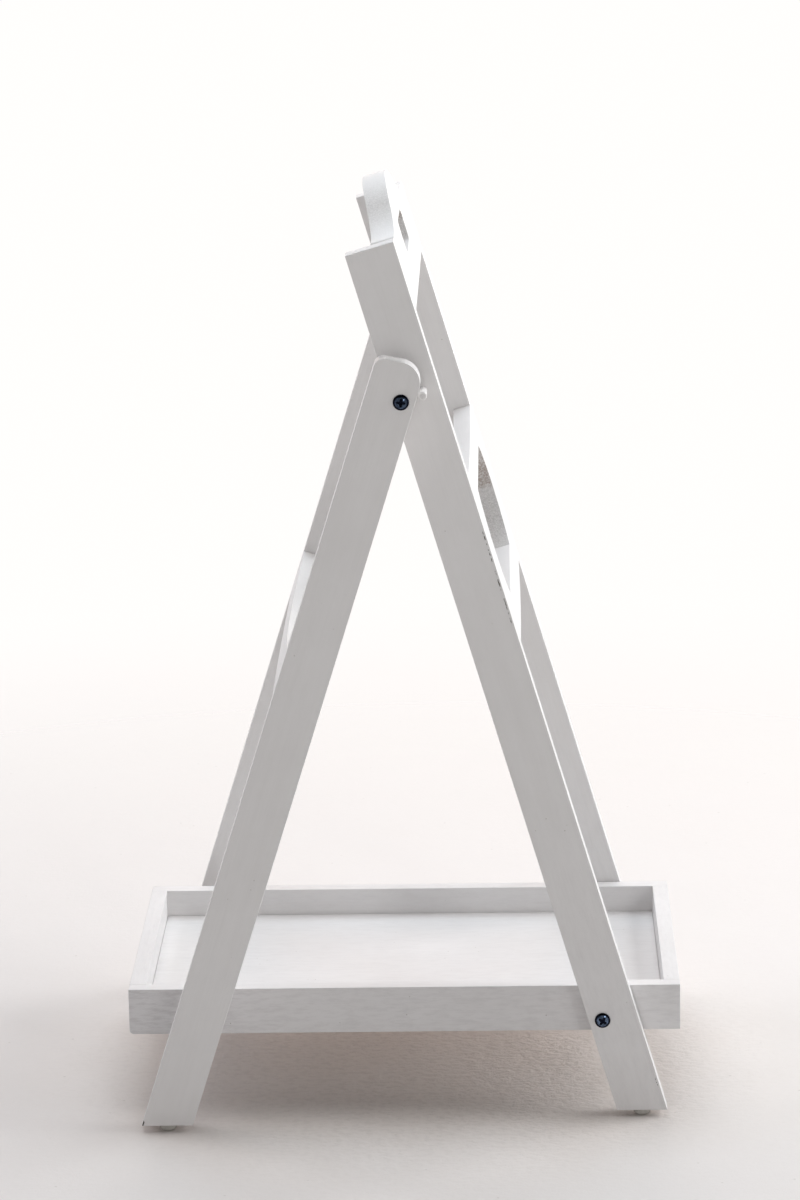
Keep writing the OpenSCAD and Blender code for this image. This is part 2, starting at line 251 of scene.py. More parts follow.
def inset_vectors(loop, inwards):
    """At each point of a closed outline, the step that moves both its neighbouring edges by one."""
    step = np.roll(loop, -1, 0) - loop
    normal = np.stack([-step[:, 1], step[:, 0]], 1) / np.linalg.norm(step, axis=1)[:, None]
    before = np.roll(normal, 1, 0)
    miter = (before + normal) / (1 + np.sum(before * normal, 1))[:, None]
    return miter * (1 if inwards else -1)


def holed_board(name, outer, inner, centre, corners, thick, place):
    """A board whose section goes round: front face, eased outer edge, back face, eased hole edge.
    A point of the outer outline and a point of the hole lie on each ray from the centre."""
    marks = np.array([math.atan2(y - centre[1], x - centre[0]) for x, y in corners])
    even = np.arange(360) * TAU / 360
    angles = np.unique(np.round(np.concatenate([even, np.mod(marks, TAU)]), 7))
    ray = np.stack([np.cos(angles), np.sin(angles)], 1)
    out = centre + ray * loop_radii(outer, centre, angles)[:, None]
    hole = centre + ray * loop_radii(inner, centre, angles)[:, None]
    ease_out = np.where(abs(out[:, 0]) > STILE_IN - 0.1 * MM, TIGHT, EASE)[:, None]
    move_out = inset_vectors(out, True)
    move_in = inset_vectors(hole, False)
    turn = ARC * TAU / 4
    quarter = [(1 - math.cos(t), 1 - math.sin(t)) for t in turn]
    sides, depths, edge = [], [], []

    def add(side, depth, weight):
        sides.append(side)
        depths.append(np.broadcast_to(depth, (len(angles), 1)))
        edge.append(weight)

    near_hole = hole + move_in * (EASE + SUPPORT)
    near_out = out + move_out * (ease_out + SUPPORT)
    across_face = (0.0, 0.15, 0.4, 0.7, 1.0)
    for t in across_face:
        add(near_hole + (near_out - near_hole) * t, 0.0, 0)
    for front in (True, False):
        for lift, draw in (quarter[::-1] if front else quarter):
            depth = ease_out * draw
            add(out + move_out * ease_out * lift, depth if front else thick - depth, 1 - abs(2 * lift - 1))
    for t in across_face[::-1]:
        add(near_hole + (near_out - near_hole) * t, thick, 0)
    for front in (False, True):
        for lift, draw in (quarter if front else quarter[::-1]):
            depth = EASE * draw
            add(hole + move_in * EASE * lift, depth if front else thick - depth, 1 - abs(2 * lift - 1))
    flat = np.stack(sides, 1)
    depth = np.stack(depths, 1)
    local = np.concatenate([flat[..., :1], depth, flat[..., 1:]], -1)
    grain = local[..., [1, 2, 0]]
    # End grain shows on an edge as far as it faces sideways, but not on the board's own ends. It is barely
    # painted on the right, above the hole's middle; on the hole's upper wall, which faces down, that dark
    # brown is partly painted shade.
    outer_rim = slice(len(across_face), len(across_face) + 2 * len(quarter))
    hole_rim = slice(2 * len(across_face) + 2 * len(quarter), None)
    cut = np.zeros((len(angles), len(sides)))
    for move, low, rim in ((move_out, 0.12, outer_rim), (move_in, 0.5, hole_rim)):
        across = abs(move[:, 0]) / np.linalg.norm(move, axis=1)
        cut[:, rim] = np.clip(1.6 * across - low, 0, 1)[:, None]
    cut[:, outer_rim] *= abs(out[:, :1]) < STILE_IN - 1 * MM
    bare = cut * np.clip((local[..., 2] - centre[1] - 3 * MM) / (5 * MM), 0, 1) * (local[..., 0] > 0)
    return make(name, place(local), grain, wrap_rows=True, edge=np.array(edge)[None, :], end=cut,
                coarse=LITTLE, bare=bare)


def handle_outline():
    """The handle board's outline: a flat shoulder, a hollow sweep, and a dome of the same radius."""
    r = ((ARCH_HALF / 2) ** 2 + (ARCH_RISE / 2) ** 2) / ARCH_RISE
    x = np.linspace(STILE_IN, -STILE_IN, 1201)
    far = abs(x)
    hollow = FRONT_LEN + r - np.sqrt(np.maximum(r * r - np.clip(ARCH_HALF - far, 0, None) ** 2, 0))
    dome = FRONT_LEN + ARCH_RISE - r + np.sqrt(np.maximum(r * r - x * x, 0))
    top = np.where(far < ARCH_HALF / 2, dome, hollow)
    side = np.linspace(FRONT_LEN, HANDLE_LOW, 200)[1:]
    return np.concatenate([
        np.stack([x, top], 1),
        np.stack([np.full_like(side, -STILE_IN), side], 1),
        np.stack([-x[1:], np.full(len(x) - 1, HANDLE_LOW)], 1),
        np.stack([np.full_like(side, STILE_IN), side[::-1]], 1)[:-1]])


def slot_outline(w, h, r, middle):
    """A rectangle with round corners."""
    turns = np.linspace(0, TAU, 400, endpoint=False)
    x, y = np.cos(turns), np.sin(turns)
    rounds = np.stack([np.sign(x) * (w / 2 - r) + r * x, np.sign(y) * (h / 2 - r) + r * y + middle], 1)
    straight = np.linspace(-1, 1, 200)
    flats = [np.stack([straight * (w / 2 - r), np.full(200, middle + k * h / 2)], 1) for k in (-1, 1)]
    sides = [np.stack([np.full(200, k * w / 2), middle + straight * (h / 2 - r)], 1) for k in (-1, 1)]
    return np.concatenate([rounds, *flats, *sides])


def middle_outline():
    """The middle board's outline: straight ends, and long edges that sag as shallow parabolas."""
    x = np.linspace(STILE_IN, -STILE_IN, 801)
    sag = MIDDLE_BELLY * (1 - (x / STILE_IN) ** 2)
    side = np.linspace(0, 1, 200)[1:-1]
    return np.concatenate([
        np.stack([x, MIDDLE_HIGH - sag], 1),
        np.stack([np.full_like(side, -STILE_IN), MIDDLE_HIGH + (MIDDLE_LOW - MIDDLE_HIGH) * side], 1),
        np.stack([-x, MIDDLE_LOW - sag], 1),
        np.stack([np.full_like(side, STILE_IN), MIDDLE_LOW + (MIDDLE_HIGH - MIDDLE_LOW) * side], 1)])


def window_outline():
    """The window's outline: two straight edges, and ends that are arcs bulging past them."""
    bulge = WINDOW_HALF - WINDOW_FLAT
    r = ((WINDOW_H / 2) ** 2 + bulge ** 2) / (2 * bulge)
    up = np.linspace(-1, 1, 300) * WINDOW_H / 2
    half = WINDOW_HALF - r + np.sqrt(r * r - up ** 2)
    across = np.linspace(-WINDOW_FLAT, WINDOW_FLAT, 300)
    return np.concatenate([
        np.stack([half, WINDOW_MID + up], 1), np.stack([-half, WINDOW_MID + up], 1),
        np.stack([across, np.full(300, WINDOW_MID - WINDOW_H / 2)], 1),
        np.stack([across, np.full(300, WINDOW_MID + WINDOW_H / 2)], 1)])


# ---- Turned pieces ----

def turned(name, profile, segments, place, shape=None, wear=None, end=None):
    """A profile of (radius, height) carried round an axis, closed by a small flat face at each end.
    shape(x, y, radius, height) may lower a point, as a recess does. wear and end likewise give marks."""
    radius, height = np.array(profile).T
    turn = np.arange(segments) * TAU / segments
    x, y = radius[:, None] * np.cos(turn), radius[:, None] * np.sin(turn)
    z = np.broadcast_to(height[:, None], x.shape).copy()
    if shape is not None:
        z += shape(x, y, radius[:, None], height[:, None])
    local = np.stack([x, y, z], -1)
    marks = {key: mark(x, y, radius[:, None], height[:, None])
             for key, mark in (("wear", wear), ("end", end)) if mark is not None}
    return make(name, place(local), local, **marks)


def arc_points(centre, r, start, stop, count):
    """Points of an arc between two angles in degrees."""
    turn = np.radians(np.linspace(start, stop, count))
    return np.stack([centre[0] + r * np.cos(turn), centre[1] + r * np.sin(turn)], 1)


def along_x(x, y, z, side):
    """Lays an axis along X, with its head outwards on the given side."""
    def place(p):
        return np.stack([side * (x + p[..., 2]), y + p[..., 0], z + p[..., 1]], -1)
    return place


# ---- Shader maths ----

class Value:
    """A number that a material works out; arithmetic on it adds Math nodes."""

    def __init__(self, finish, socket):
        self.finish, self.socket = finish, socket

    def math(self, operation, *others):
        return self.finish.node("ShaderNodeMath", {"operation": operation}, [self, *others])

    def __add__(self, other):
        return self.math("ADD", other)

    __radd__ = __add__

    def __mul__(self, other):
        return self.math("MULTIPLY", other)

    __rmul__ = __mul__

    def __sub__(self, other):
        return self.math("SUBTRACT", other)

    def __rsub__(self, other):
        return self.finish.node("ShaderNodeMath", {"operation": "SUBTRACT"}, [other, self])

    def step(self, low, high):
        """0 below low, 1 above high, and smooth between."""
        return self.finish.node("ShaderNodeMapRange", {"interpolation_type": "SMOOTHSTEP"},
                                {"Value": self, "From Min": low, "From Max": high})


class Nodes:
    """A tree of nodes, and the functions that add to it."""

    def __init__(self, tree):
        self.tree = tree

    def node(self, kind, settings=None, inputs=(), output=0):
        """Adds a node, sets it, then fills its inputs, given in order or by name, and returns an output."""
        new = self.tree.nodes.new(kind)
        for key, value in (settings or {}).items():
            setattr(new, key, value)
        pairs = inputs.items() if isinstance(inputs, dict) else enumerate(inputs)
        for key, value in pairs:
            self.fill(new.inputs[key], value)
        return Value(self, new.outputs[output])

    def fill(self, socket, value):
        if isinstance(value, Value):
            self.tree.links.new(value.socket, socket)
        else:
            socket.default_value = (*value, 1.0) if socket.type == "RGBA" and len(value) == 3 else value

    def attribute(self, name, output="Fac"):
        return self.node("ShaderNodeAttribute", {"attribute_name": name}, output=output)

    def object_place(self):
        return self.node("ShaderNodeTexCoord", output="Object")

    def noise(self, place, scale, detail=3.0, roughness=0.5):
        """Noise whose grain is 1 / scale metres, with one scale for all axes or one for each."""
        scales = scale if isinstance(scale, tuple) else (scale,) * 3
        stretched = self.node("ShaderNodeVectorMath", {"operation": "MULTIPLY"}, [place, scales])
        return self.node("ShaderNodeTexNoise", {}, {
            "Vector": stretched, "Scale": 1.0, "Detail": detail, "Roughness": roughness})

    def cells(self, place, scale):
        """Distance to the nearest of scattered points, in units of 1 / scale metres."""
        stretched = self.node("ShaderNodeVectorMath", {"operation": "MULTIPLY"}, [place, (scale,) * 3])
        return self.node("ShaderNodeTexVoronoi", {}, {"Vector": stretched, "Scale": 1.0}, "Distance")

    def mix(self, factor, low, high):
        """A colour between two."""
        return self.node("ShaderNodeMix", {"data_type": "RGBA"}, {0: factor, 6: low, 7: high}, 2)

    def bump(self, height, depth):
        """A normal from a height that runs from 0 to 1 over depth metres."""
        return self.node("ShaderNodeBump", {}, {
            "Height": height, "Distance": depth, "Strength": 1.0}, "Normal")


class Finish(Nodes):
    """A material's nodes."""

    def __init__(self, name):
        self.material = bpy.data.materials.new(name)
        self.material.use_nodes = True
        super().__init__(self.material.node_tree)
        self.shader = self.tree.nodes["Principled BSDF"]

    def set(self, **values):
        """Fills the shader's sockets; base_color stands for Base Color, and so on."""
        for key, value in values.items():
            self.fill(self.shader.inputs[key.replace("_", " ").title()], value)


# ---- Finishes ----

def white_paint():
    """Satin paint over timber. Fibres show through along the grain, more so on coarse timber. End grain
    soaks paint up and stays rough. Specks are scattered, and worn places are chipped to the wood."""
    f = Finish("white_paint")
    place = f.attribute("grain", "Vector")
    edge, end, wear, coarse, bare = (f.attribute(key) for key in ("edge", "end", "wear", "coarse", "bare"))
    fibres = f.noise(place, (520, 520, 14), 4, 0.6)
    pores = f.noise(place, (1500, 1500, 50), 2)
    strokes = f.noise(place, (90, 90, 3.5), 4, 0.6)
    streaks = f.noise(place, (260, 260, 5), 5, 0.65)
    stains = f.noise(place, (230, 230, 60), 4, 0.7)
    mottle = f.noise(place, 22, 4, 0.6)
    cloud = f.noise(place, 4.5, 2)
    sawn = f.noise(place, 520, 5, 0.75)
    specks = 1 - f.cells(place, 75).step(0.03, 0.06)
    specks = specks * (f.noise(place, 9, 1) + coarse * 0.07).step(0.5, 0.6)
    chips = f.noise(place, (420, 420, 260), 4, 0.65)
    chips = (chips + wear * 0.27).step(0.715, 0.73) * wear.step(0.3, 0.5)
    tone = strokes * 0.35 + mottle * 0.35 + cloud * 0.3
    base = f.mix(tone.step(0.3, 0.7), (0.765, 0.748, 0.737), (0.815, 0.80, 0.792))
    base = f.mix(coarse * 0.3, base, (0.79, 0.78, 0.795))
    base = f.mix(fibres.step(0.6, 0.8) * 0.25, base, (0.70, 0.68, 0.66))
    base = f.mix(streaks.step(0.5, 0.75) * coarse * 0.15, base, (0.60, 0.575, 0.58))
    base = f.mix((stains.step(0.4, 0.7) * 0.25 + 0.1) * coarse, base, (0.55, 0.53, 0.53))
    base = f.mix(end * (sawn.step(0.35, 0.7) * 0.5 + 0.25), base, (0.43, 0.42, 0.41))
    # Barely painted end grain, dark brown: bare wood, and on a hole's downward-facing upper wall partly painted
    # shade.
    base = f.mix(end * bare * (sawn.step(0.4, 0.6) * 0.7 + 0.15), base, (0.33, 0.26, 0.22))
    base = f.mix(end * (1 - bare) * f.noise(place, 800, 2).step(0.58, 0.66) * 0.7, base, (0.85, 0.84, 0.83))
    base = f.mix(specks * (coarse * 0.3 + 0.5), base, (0.40, 0.37, 0.34))
    base = f.mix(chips, base, (0.07, 0.055, 0.045))
    rough = 0.42 + fibres * 0.12 + end * 0.2 + mottle * 0.08 + chips * 0.3
    height = (fibres * 0.3 + pores * 0.12 + strokes * 0.4 + streaks * coarse * 0.4 + end * sawn * 1.8
              + edge * mottle * 0.5 - specks * 0.35 - chips * 1.2)
    f.set(base_color=base, roughness=rough, normal=f.bump(height, 0.3 * MM))
    return f.material


def bare_beech():
    """A turned beech dowel: pale brown with short dark flecks along it."""
    f = Finish("beech")
    place = f.object_place()
    rings = f.noise(place, (60, 700, 700), 3)
    flecks = f.noise(place, (160, 1500, 1500), 2).step(0.6, 0.7)
    base = f.mix(rings.step(0.3, 0.7), (0.50, 0.34, 0.20), (0.64, 0.47, 0.30))
    f.set(base_color=f.mix(flecks * 0.5, base, (0.32, 0.20, 0.11)), roughness=rings * 0.2 + 0.5,
          normal=f.bump(rings * 0.6 + flecks * 0.3, 0.2 * MM))
    return f.material


def blue_black_metal():
    """Blue-black oxide on steel: near black in hollows and on rims, and rubbed to a blue grey sheen where
    tools and hands have worn it."""
    f = Finish("blue_black_metal")
    place = f.attribute("grain", "Vector")
    worn = f.attribute("wear")
    cloud = f.noise(place, 300, 4, 0.6)
    fine = f.noise(place, 1600, 3, 0.6)
    rub = (cloud * 0.6 + fine * 0.4).step(0.3, 0.7) * worn
    base = f.mix(cloud.step(0.3, 0.7), (0.0015, 0.002, 0.006), (0.003, 0.005, 0.016))
    f.set(base_color=f.mix(rub, base, (0.13, 0.18, 0.27)), roughness=cloud * 0.05 + 0.08 + fine * 0.03,
          metallic=0.9, normal=f.bump(cloud * 0.4 + fine * 0.2, 0.02 * MM))
    return f.material


def zinc_steel():
    """Zinc-plated steel: faint turning lines and a cloudy grey."""
    f = Finish("zinc_steel")
    place = f.object_place()
    lines = f.noise(place, (4000, 300, 300), 2)
    cloud = f.noise(place, 180, 3)
    f.set(base_color=f.mix(cloud.step(0.3, 0.7), (0.42, 0.42, 0.40), (0.60, 0.60, 0.57)),
          roughness=lines * 0.2 + 0.25, metallic=1.0, normal=f.bump(lines, 0.03 * MM))
    return f.material


def nylon():
    """Moulded off-white nylon, a little scuffed and dusty, its colour darkened to a grey as painted shade under
    the feet.
    """
    f = Finish("nylon")
    place = f.object_place()
    cloud = f.noise(place, 240, 3)
    scuffs = f.noise(place, (2600, 500, 500), 3, 0.7).step(0.6, 0.75)
    # A grey far darker than off-white nylon: painted shade, for the shade the glides stand in under the feet.
    base = f.mix(cloud.step(0.3, 0.7), (0.42, 0.40, 0.37), (0.54, 0.52, 0.48))
    f.set(base_color=f.mix(scuffs * 0.4, base, (0.26, 0.23, 0.19)),
          roughness=0.42 + scuffs * 0.2 + cloud * 0.1, normal=f.bump(cloud * 0.4 - scuffs * 0.4, 0.06 * MM))
    return f.material


FINISHES = {
    "white_paint": white_paint(), "beech": bare_beech(), "blue_black_metal": blue_black_metal(),
    "zinc_steel": zinc_steel(), "nylon": nylon()}
SLOT_OF = {s["node"]: s["material_slot"] for s in frame["record"]["subparts"]}
BODY_OF = {n: body for body, nodes in frame["record"]["behaviour"]["bodies"].items() for n in nodes}


def finished(pieces, node):
    """Gives the pieces that stand for a CAD node its finish, its body and its slot."""
    for piece in pieces:
        piece.data.materials.append(FINISHES[SLOT_OF[node]])
        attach(piece, BODY_OF[node])
        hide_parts(node)


# ---- Front frame ----

def front_stile(side, name):
    """A stile: square top, foot cut level, eased edges, streakier and darker towards the foot. Paint has
    chipped off the left one's outer face beside its front edge, as specks that run into a thin broken line
    below, and once more near the foot."""
    foot = GLIDE_H / math.cos(FRONT_LEAN)
    a, inset = ends_of(foot, FRONT_LEN, EASE, 140)
    chip_low, chip_high, foot_chip = 490 * MM, 592 * MM, 36 * MM
    chip_back, chip_half = 1.9 * MM, 0.9 * MM

    def wear(along, across, back):
        up = np.clip((along - chip_low) / (chip_high - chip_low), 0, 1)
        there = np.clip(np.minimum(along - chip_low, chip_high - along) / (4 * MM), 0, 1)
        there = there + 1.3 * np.clip(1 - abs(along - foot_chip) / (6 * MM), 0, 1)
        line = np.clip(1 - abs(back - chip_back) / chip_half, 0, 1)
        return there * line * (1.1 - 0.25 * up) * (abs(across) > STILE_OUT - 0.3 * MM) * (side < 0)

    # Streakier and darker towards the foot.
    def coarse(along, across, back):
        return LITTLE + 0.4 * np.clip((0.38 - along) / 0.25, 0, 1)

    low, high = sorted((side * STILE_IN, side * STILE_OUT))
    piece = bar(name + "_visible", a, inset, low, high, 0.0, STILE_W, EASE, (2, 0, 1), in_front,
                taper_to(foot, ASKEW, math.tan(FRONT_LEAN)), wear, coarse)
    finished([piece], name)


def handle_board():
    corners = [(x, y) for x in (-STILE_IN, STILE_IN) for y in (HANDLE_LOW, FRONT_LEN)]
    hand_hole = slot_outline(HAND_W, HAND_H, HAND_R, HAND_MID)
    piece = holed_board("handle_board_visible", handle_outline(), hand_hole, np.array([0, HAND_MID]), corners,
                        HANDLE_T, in_front)
    finished([piece], "handle_board")


def middle_board():
    ends = [(x, y) for x in (-STILE_IN, STILE_IN) for y in (MIDDLE_LOW, MIDDLE_HIGH)]
    creases = [(x, WINDOW_MID + y * WINDOW_H / 2) for x in (-WINDOW_FLAT, WINDOW_FLAT) for y in (-1, 1)]
    piece = holed_board("middle_board_visible", middle_outline(), window_outline(),
                        np.array([0, WINDOW_MID]), ends + creases, BOARD_T, in_front)
    finished([piece], "middle_board")


# ---- Rear frame ----

def rear_leg(side, name):
    """A leg: its top slopes a little and has two round corners, and its foot is cut level. A little paint
    has chipped off the left one's rear corner, at the floor."""
    foot, chip_r = GLIDE_H / math.cos(REAR_LEAN), 2.6 * MM
    a, inset = ends_of(foot, REAR_LEN, EASE, 60)
    a, inset, (front, rear) = rounding(a, inset, REAR_LEN, (REAR_TOP_R, REAR_HEEL_R))
    at_foot = taper_to(foot, ASKEW, -math.tan(REAR_LEAN))
    at_top = taper_to(REAR_LEN, -ASKEW, -math.tan(REAR_CUT))

    def slant(along, across, back):
        return at_foot(along, across, back) + at_top(along, across, back)

    def wear(along, across, back):
        near = np.clip(1 - np.hypot(back, along - foot) / chip_r, 0, 1)
        return 2 * near * (abs(across) > LEG_IN + STILE_T - 0.5 * MM) * (side < 0)

    low, high = sorted((side * LEG_IN, side * (LEG_IN + STILE_T)))
    piece = bar(name + "_visible", a, inset, low, high, -STILE_W + front, -rear, EASE, (2, 0, 1), in_rear,
                slant, wear)
    finished([piece], name)


def rear_board():
    """The rear board: its lower edge sags a little and its upper edge dips more, both as parabolas."""
    a, inset = ends_of(-LEG_IN, LEG_IN, TIGHT, 60)
    level = 1 - (a / LEG_IN) ** 2
    piece = bar("rear_board_visible", a, inset, -BOARD_T, 0.0, REAR_LOW - REAR_BELLY * level,
                REAR_HIGH - REAR_DIP * level, EASE, (0, 1, 2), in_rear)
    finished([piece], "rear_board")


def tray_rod():
    """A round rod with a thinner tenon at each end."""
    low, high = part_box("tray_rod")
    r, tenon = (high.z - low.z) / 2, TENON_D / 2
    up = 0.5 * (low.z + high.z)
    ease = 0.8 * MM
    shoulder = high.x - LEG_IN
    half = [(CAP_R, high.x), (tenon - ease, high.x), (tenon, high.x - ease), (tenon, high.x - shoulder),
            (r - ease, LEG_IN), (r, LEG_IN - ease)]
    middle = [(r, x) for x in np.linspace(LEG_IN - 2 * ease, -LEG_IN + 2 * ease, 40)]
    profile = half + middle + [(q, -x) for q, x in half[::-1]]
    piece = turned("tray_rod_visible", profile, 40, along_x(0.0, (low.y + high.y) / 2, up, 1))
    finished([piece], "tray_rod")


# ---- Tray ----

def tray_rails():
    """Sides that run the whole length, with end rails between them. The tray's lower rear edge is round, and
    the sides' outer faces are streakier and darker than the rest, most of all at the rear."""
    # Streakier and darker on the outer faces, more so towards the rear.
    def darker_outside_to_rear(along, across, up):
        outside = abs(across) > STILE_IN - 2 * MM
        return SOME + outside * (0.5 + 0.9 * np.clip((along - 0.1) / 0.12, 0, 1))

    for name, order in (("tray_side_left", (1, 0, 2)), ("tray_side_right", (1, 0, 2)),
                        ("tray_front_rail", (0, 1, 2)), ("tray_rear_rail", (0, 1, 2))):
        low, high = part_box(name)
        along, across = order[:2]
        a, inset = ends_of(low[along], high[along], TRAY_EASE if along == 1 else TIGHT, 30)
        ease, lift, coarse = TRAY_EASE, 0.0, some
        if along == 1:
            a, inset, (lift,) = rounding(a, inset, high.y, (TRAY_EDGE_R,))
            coarse = darker_outside_to_rear
        elif name == "tray_rear_rail":
            ease = (TRAY_EASE, TRAY_EASE, TRAY_EASE, TRAY_EDGE_R)
        piece = bar(name + "_visible", a, inset, low[across], high[across], low.z + lift, high.z, ease, order,
                    coarse=coarse)
        finished([piece], name)


def tray_floor():
    """The floor panel, which ends just short of the rails."""
    low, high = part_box("tray_floor")
    half_x, half_y = high.x - TONGUE, high.y - TONGUE
    a, inset = ends_of(-half_y, half_y, TIGHT, 30)
    piece = bar("tray_floor_visible", a, inset, -half_x, half_x, low.z, high.z, TIGHT, (1, 0, 2), coarse=some)
    finished([piece], "tray_floor")


# ---- Hardware ----

def bolts(node):
    """Domed heads with a cross recess, each on its shank. The recess is a cross of two tapered slots,
    deepest at the centre."""
    low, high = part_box(node)
    y, z = (low.y + high.y) / 2, (low.z + high.z) / 2
    head_r, head_h, shank_r, rim = (high.y - low.y) / 2, 3.4 * MM, 3 * MM, 0.9 * MM
    slot_half, slot_taper, slot_wall, slot_reach, slot_depth = 1.75 * MM, 0.22, 0.3 * MM, 4.1 * MM, 1.3 * MM
    cone_r, cone_depth = 2 * MM, 0.7 * MM
    dome_h = head_h - rim
    dome_r = (head_r ** 2 + dome_h ** 2) / (2 * dome_h)
    inner_end = {"pivot_bolts": STILE_OUT - PIVOT_INSERT_L,
                 "tray_bolts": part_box("tray_side_right")[1].x - TRAY_INSERT_L}[node]
    length = high.x - head_h - inner_end
    radii = np.concatenate([np.linspace(0.04, 4.3, 44) * MM, np.linspace(4.45, head_r / MM - 0.5, 10) * MM])
    dome = [(r, head_h - dome_r + math.sqrt(dome_r ** 2 - r * r)) for r in radii]
    edge = arc_points((head_r - 0.45 * MM, rim - 0.35 * MM), 0.45 * MM, 62, -50, 8)
    below = [(head_r - 0.6 * MM, 0.0), (shank_r + 0.4 * MM, 0.0), (shank_r, -0.4 * MM)]
    shank = [(shank_r, -x) for x in np.linspace(0.8 * MM, length - 0.8 * MM, 24)]
    tip = [(shank_r - 0.7 * MM, -length), (CAP_R, -length)]
    profile = [*dome, *map(tuple, edge), *below, *shank, *tip]

    def recess(x, y, r, h):
        """Two slots at right angles round a cone, with sloping walls, deepest at the centre."""
        x, y = abs(x), abs(y)
        half = slot_half - slot_taper * np.maximum(x, y)
        slots = np.clip((half - np.minimum(x, y)) / slot_wall, 0, 1)
        slots = slots * np.clip((slot_reach - r) / (0.5 * MM), 0, 1)
        return -(slot_depth + cone_depth * np.clip(1 - r / cone_r, 0, 1)) * slots * (h > rim)

    rubbed = {"pivot_bolts": 0.8, "tray_bolts": 1.5}[node]

    def wear(x, y, r, h):
        domed = (h > rim) * (recess(x, y, r, h) > -0.1 * MM)
        return rubbed * domed * np.clip((head_r - 1.5 * MM - r) / (0.6 * MM), 0, 1)

    spins = {-1: 0.12 if node == "pivot_bolts" else 0.55, 1: 1.1}   # how far each recess is turned
    pieces = []
    for side, word in SIDES:
        def place(p, side=side):
            c, s = math.cos(spins[side]), math.sin(spins[side])
            spun = np.stack([p[..., 0] * c - p[..., 1] * s, p[..., 0] * s + p[..., 1] * c, p[..., 2]], -1)
            return along_x(high.x - head_h, y, z, side)(spun)
        pieces.append(turned(f"{node}_{word}", profile, 120, place, recess, wear))
    finished(pieces, node)


def stop_pins():
    """Painted dowel ends with a rounded rim."""
    low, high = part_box("stop_pins")
    y, z, r = (low.y + high.y) / 2, (low.z + high.z) / 2, (high.z - low.z) / 2
    length, ease = high.x - (STILE_OUT - STOP_IN), 1.0 * MM

    def disc(x, y, radius, height):
        return np.clip((r - 1.2 * MM - radius) / (0.4 * MM), 0, 1) * 0.8

    profile = [(CAP_R, 0.0), (r * 0.5, 0.0), (r - ease - 0.3 * MM, 0.0), (r - ease - 0.1 * MM, 0.0),
               *map(tuple, arc_points((r - ease, -ease), ease, 90, 0, 8)),
               *[(r, -x) for x in np.linspace(ease + 0.3 * MM, length, 12)], (CAP_R, -length)]
    pieces = [turned(f"stop_pin_{word}", profile, 48, along_x(high.x, y, z, side), end=disc)
              for side, word in SIDES]
    finished(pieces, "stop_pins")


def glides(node):
    """Low round feet, rounded below."""
    low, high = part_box(node)
    y, r = (low.y + high.y) / 2, (high.y - low.y) / 2
    x, h = high.x - r, high.z
    bend = h / 2
    profile = [(CAP_R, h), (r * 0.6, h), (r - 0.3 * MM, h), (r, h - 0.3 * MM), (r, bend + 0.3 * MM),
               *map(tuple, arc_points((r - bend, bend), bend, 0, -90, 9)), (r * 0.3, 0.0), (CAP_R, 0.0)]
    pieces = []
    for side, word in SIDES:
        def place(p, side=side):
            return p + np.array([side * x, y, 0.0])
        pieces.append(turned(f"{node}_{word}", profile, 48, place))
    finished(pieces, node)


# ---- Studio ----

STAND_MIDDLE = np.array([0.0, 0.0, 0.45])


def photograph_camera():
    """The camera that the photograph's edges were solved for: it looks along +X and down."""
    place, heading, down, roll = (-3.9147, -0.0949, 1.4580), -88.601, 14.369, -1.046
    focal_pixels, frame_pixels = 4272.0, 1200.0
    data = bpy.data.cameras.new("camera")
    data.sensor_width = 36.0
    data.lens = focal_pixels / frame_pixels * data.sensor_width
    camera = bpy.data.objects.new("camera", data)
    bpy.context.scene.collection.objects.link(camera)
    camera.matrix_world = (Matrix.Translation(place) @ Matrix.Rotation(math.radians(heading), 4, "Z")
                           @ Matrix.Rotation(math.radians(90 - down), 4, "X")
                           @ Matrix.Rotation(math.radians(roll), 4, "Z"))
    bpy.context.scene.camera = camera


def softbox(name, place, size, power, colour=(1, 1, 1)):
    """A rectangle of light that faces the stand's middle, and that the camera doesn't see."""
    data = bpy.data.lights.new(name, "AREA")
    data.shape, data.size, data.size_y = "RECTANGLE", size[0], size[1]
    data.energy, data.color = power, colour
    lamp = bpy.data.objects.new(name, data)
    bpy.context.scene.collection.objects.link(lamp)
    aim = Vector(STAND_MIDDLE - np.array(place)).to_track_quat("-Z", "Y").to_matrix().to_4x4()
    lamp.matrix_world = Matrix.Translation(place) @ aim
    lamp.visible_camera = False


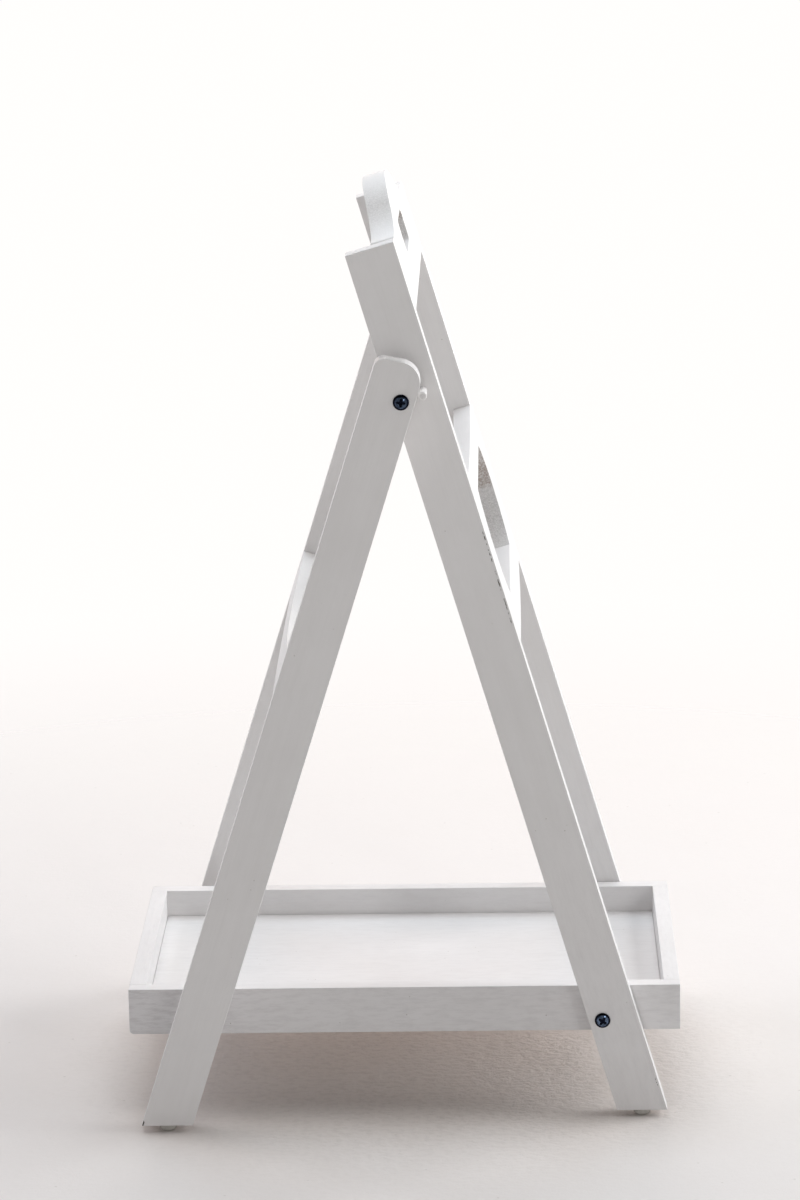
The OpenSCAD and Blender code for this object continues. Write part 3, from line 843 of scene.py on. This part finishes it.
def studio_floor():
    """A wide disc, pale, that fades into the white surroundings away from the stand. Near the stand it is warmer
    and its wrinkles darker: painted warm shade about the stand.
    """
    rings, spokes = np.array([0.02, 0.4, 0.8, 1.2, 2, 3, 4.5, 7]), 96
    turn = np.arange(spokes) * TAU / spokes
    x, y = rings[:, None] * np.cos(turn), rings[:, None] * np.sin(turn)
    mesh = bpy.data.meshes.new("floor")
    faces = grid_faces(len(rings), spokes, False).tolist() + [list(range(spokes))]
    points = np.stack([x, y, np.zeros_like(x)], -1).reshape(-1, 3)
    mesh.from_pydata(points.tolist(), [], faces)
    floor = bpy.data.objects.new("floor", mesh)
    bpy.context.scene.collection.objects.link(floor)
    f = Finish("floor")
    place = f.object_place()
    wrinkles = f.noise(place, (160, 105, 75), 3, 0.6)
    grit = f.noise(place, 420, 2)
    away = f.node("ShaderNodeVectorMath", {"operation": "LENGTH"}, [place], "Value")
    wrinkled_and_shaded = 1 - away.step(0.1, 0.4) * 0.92
    patches = f.noise(place, 9, 5, 0.6)
    scuffs = 1 - f.cells(place, 28).step(0.02, 0.05)
    base = f.mix(patches.step(0.3, 0.7), (0.775, 0.722, 0.685), (0.795, 0.745, 0.712))
    # Warm near the stand and a neutral pale further out: the warmth near the stand is painted warm shade.
    base = f.mix(away.step(0.2, 0.5) * 0.75, base, (0.77, 0.74, 0.722))
    # Darker wrinkle lines near the stand are painted shade; the grit is the floor's own.
    lines = wrinkles.step(0.45, 0.65) * wrinkled_and_shaded * 0.4 + grit.step(0.5, 0.8) * 0.1
    base = f.mix(lines, base, (0.63, 0.585, 0.55))
    base = f.mix(scuffs * 0.4, base, (0.50, 0.46, 0.42))
    f.set(base_color=base, roughness=0.62,
          normal=f.bump(wrinkles * wrinkled_and_shaded + patches * 0.3 + grit * 0.05, 3 * MM))
    far = away.step(0.3, 1.8)
    clear = f.node("ShaderNodeBsdfTransparent", output="BSDF")
    mixed = f.node("ShaderNodeMixShader", {}, [far, Value(f, f.shader.outputs[0]), clear])
    f.tree.links.new(mixed.socket, f.tree.nodes["Material Output"].inputs["Surface"])
    mesh.materials.append(f.material)


def studio_surroundings():
    """White surroundings: bright below the horizon, dimmer there on the side that the photograph was taken
    from, and on that side a soft band of light above it."""
    world = bpy.data.worlds.new("studio")
    bpy.context.scene.world = world
    world.use_nodes = True
    n = Nodes(world.node_tree)
    way = n.node("ShaderNodeTexCoord", output="Generated")
    x, z = (n.node("ShaderNodeSeparateXYZ", {}, [way], k) for k in (0, 2))
    above, away = z.step(-0.03, 0.1), x.step(-0.75, 0.55)
    near = (1 - x.step(-0.4, 0.3)) * z.step(-0.03, 0.05) * (1 - z.step(0.4, 0.7))
    light = (away * 0.34 + 0.68) * (1 - above) + near * 0.42
    warm = n.mix(near, (1.0, 0.975, 0.96), (1.0, 1.0, 1.01))
    background = world.node_tree.nodes["Background"]
    n.fill(background.inputs["Color"], warm)
    n.fill(background.inputs["Strength"], light)


def studio():
    photograph_camera()
    studio_floor()
    studio_surroundings()
    softbox("front_box", (0.4, -2.2, 1.4), (2.1, 1.8), 56, (0.985, 1.0, 1.015))
    softbox("rear_box", (0.7, 2.3, 1.7), (1.8, 1.6), 20.5, (0.98, 0.97, 1.05))
    softbox("top_box", (1.3, 0.0, 2.6), (2.0, 2.0), 34.5, (0.91, 1.01, 1.09))
    softbox("far_box", (2.3, 0.0, 1.0), (1.6, 1.2), 8.5, (1.3, 1.0, 0.85))
    softbox("high_rear_box", (0.3, 0.8, 2.3), (0.8, 0.8), 5, (1.05, 1.0, 0.92))
    softbox("overhead_box", (-0.3, 0.0, 2.5), (0.9, 0.9), 5.5)
    softbox("near_box", (-3.8, -1.85, 1.8), (0.5, 0.6), 12)
    bpy.context.scene.view_settings.view_transform = "Standard"
    bpy.context.scene.view_settings.look = "None"


for side, word in SIDES:
    front_stile(side, f"front_stile_{word}")
    rear_leg(side, f"rear_leg_{word}")
handle_board()
middle_board()
rear_board()
tray_rod()
tray_rails()
tray_floor()
for node in ("pivot_bolts", "tray_bolts"):
    bolts(node)
stop_pins()
for node in ("front_glides", "rear_glides"):
    glides(node)
for node, cad in frame["nodes"].items():
    cad.data.materials.clear()
    cad.data.materials.append(FINISHES[SLOT_OF[node]])
studio()
